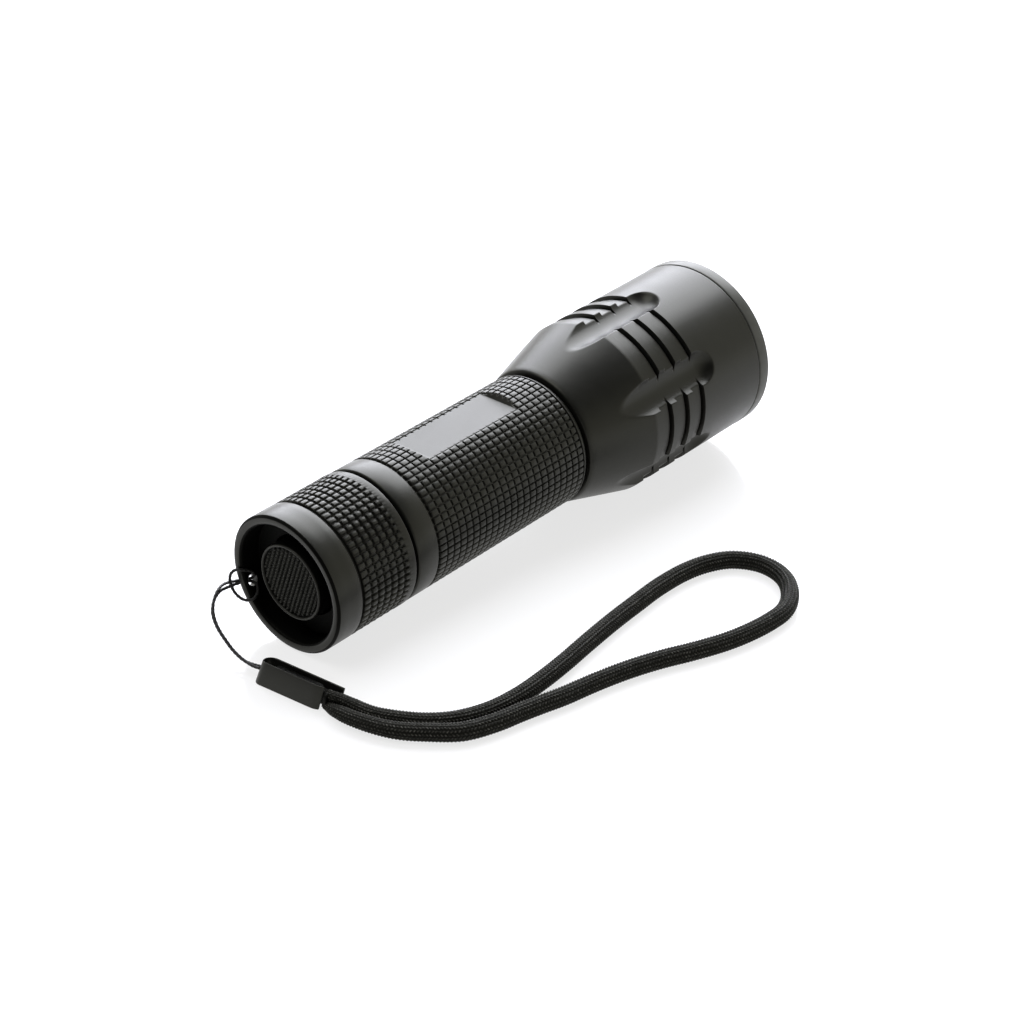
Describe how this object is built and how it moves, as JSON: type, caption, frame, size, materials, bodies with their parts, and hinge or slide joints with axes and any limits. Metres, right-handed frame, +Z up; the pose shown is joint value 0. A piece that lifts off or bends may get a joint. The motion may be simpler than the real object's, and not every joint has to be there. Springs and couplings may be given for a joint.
{
  "type": "tactical flashlight",
  "caption": "Handheld aluminium torch with knurled grip, scalloped flared head, recessed rubber tail switch, screw tail cap, battery cartridge and a braided wrist lanyard.",
  "frame": {"origin": "on the resting surface, below the middle of the torch's own box (the lanyard is not counted)", "axes": "+X from the tail to the head along the length, the torch's axis climbing 3.04 degrees towards the head; +Z up; the lanyard lies on the -Y side"},
  "size_m": [0.1339, 0.0819, 0.039],
  "materials": {
    "anodised_aluminium": "satin black anodised",
    "black_rubber": "matt",
    "sleeve_rubber": "matt",
    "black_plastic": "matt moulded",
    "white_plastic": "matt moulded",
    "circuit_board": "solder resist",
    "bare_aluminium": "turned",
    "spring_steel": "nickel plated",
    "contact_brass": "plated",
    "cell_jacket": "printed jacket, plain",
    "led_phosphor": "silicone dome",
    "reflector_coating": "vacuum coated",
    "clear_glass": "polished",
    "string": "fine twisted",
    "braided_cord": "braided",
    "clamp_metal": "satin black"
  },
  "bodies": {
    "body": {"body_tube": "anodised_aluminium", "tail_o_ring": "black_rubber", "neck_o_ring": "black_rubber", "head_shell": "anodised_aluminium", "led_pill": "bare_aluminium", "driver_board": "circuit_board", "driver_coil": "black_plastic", "driver_spring": "contact_brass", "led_board": "bare_aluminium", "led_emitter": "led_phosphor", "led_gasket": "white_plastic", "reflector": "reflector_coating", "lens": "clear_glass", "lens_gasket": "black_rubber", "bezel_ring": "anodised_aluminium"},
    "tail_cap": {"tail_cap": "anodised_aluminium", "boot_washer": "black_plastic", "switch_housing": "black_plastic", "switch_core": "white_plastic", "switch_board": "circuit_board", "switch_retainer": "bare_aluminium", "tail_spring": "spring_steel", "lanyard_string": "string", "lanyard_clamp": "clamp_metal", "cord_sleeve": "sleeve_rubber", "wrist_cord": "braided_cord"},
    "button": {"switch_boot": "black_rubber", "switch_plunger": "white_plastic"},
    "battery_cartridge": {"carrier_frame": "black_plastic", "battery_cell_1": "cell_jacket", "battery_cell_2": "cell_jacket", "battery_cell_3": "cell_jacket", "cell_contact_1": "spring_steel", "cell_contact_2": "spring_steel", "cell_contact_3": "spring_steel", "cell_spring_1": "spring_steel", "cell_spring_2": "spring_steel", "cell_spring_3": "spring_steel", "carrier_rear_contact": "contact_brass", "carrier_front_contact": "contact_brass"}
  },
  "joints": [
    {"name": "button_press", "type": "slide", "parent": "tail_cap", "child": "button", "axis": [0.9986, 0, 0.0531], "range_m": [0, 0.0015], "stiffness_N_per_m": 600, "springref_m": -0.002},
    {"name": "tail_cap_off", "type": "slide", "parent": "body", "child": "tail_cap", "axis": [-1, 0, 0], "range_m": [0, 0.075]},
    {"name": "cartridge_slide", "type": "slide", "parent": "body", "child": "battery_cartridge", "axis": [-0.9986, 0, -0.0531], "range_m": [0, 0.0635]}
  ],
  "couplings": [
    {"joint": "cartridge_slide", "follows": "tail_cap_off", "ratio": 0.84}
  ]
}
